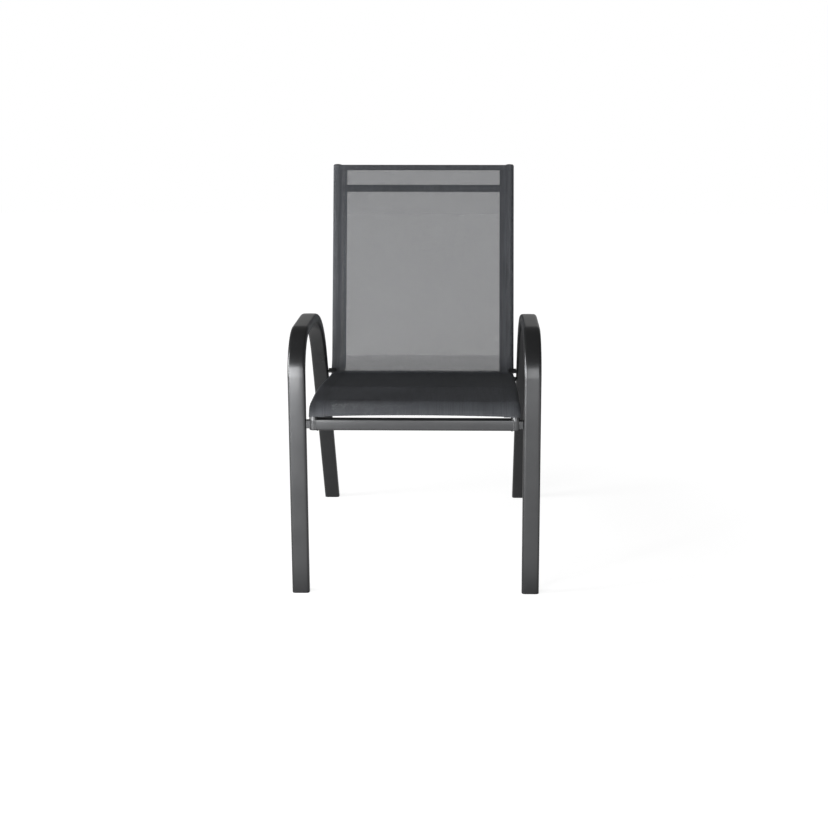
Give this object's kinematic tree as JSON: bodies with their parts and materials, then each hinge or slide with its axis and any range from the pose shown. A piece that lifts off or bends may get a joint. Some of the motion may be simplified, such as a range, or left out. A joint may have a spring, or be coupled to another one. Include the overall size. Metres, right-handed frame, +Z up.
{
  "type": "sling patio chair",
  "caption": "Stacking outdoor armchair: bent flat-tube side frames form legs and arms, and round rails between them stretch a mesh sling that makes the seat and back.",
  "frame": {"origin": "on the floor, under the middle of the chair's box", "axes": "+X to the right as one faces the chair, +Y from the front to the back, +Z up; the sitter faces -Y"},
  "size_m": [0.56, 0.721, 0.9276],
  "materials": {
    "charcoal_coat": "satin powder coat on steel tube",
    "black_plastic": "moulded, fine grain",
    "grey_mesh": "open woven mesh of coated yarn"
  },
  "bodies": {
    "root": {"side_frame_left": "charcoal_coat", "side_frame_right": "charcoal_coat", "foot_glide_front_left": "black_plastic", "foot_glide_front_right": "black_plastic", "foot_glide_rear_left": "black_plastic", "foot_glide_rear_right": "black_plastic", "sling_rail_left": "charcoal_coat", "sling_rail_right": "charcoal_coat", "rail_top_plug_left": "black_plastic", "rail_top_plug_right": "black_plastic", "rail_front_plug_left": "black_plastic", "rail_front_plug_right": "black_plastic", "top_crossbar": "charcoal_coat", "rear_crossbar": "charcoal_coat", "front_crossbar": "charcoal_coat", "front_saddle_left": "charcoal_coat", "front_saddle_right": "charcoal_coat", "rear_tab_upper_left": "charcoal_coat", "rear_tab_upper_right": "charcoal_coat", "rear_tab_lower_left": "charcoal_coat", "rear_tab_lower_right": "charcoal_coat", "sling": "grey_mesh"}
  },
  "joints": []
}
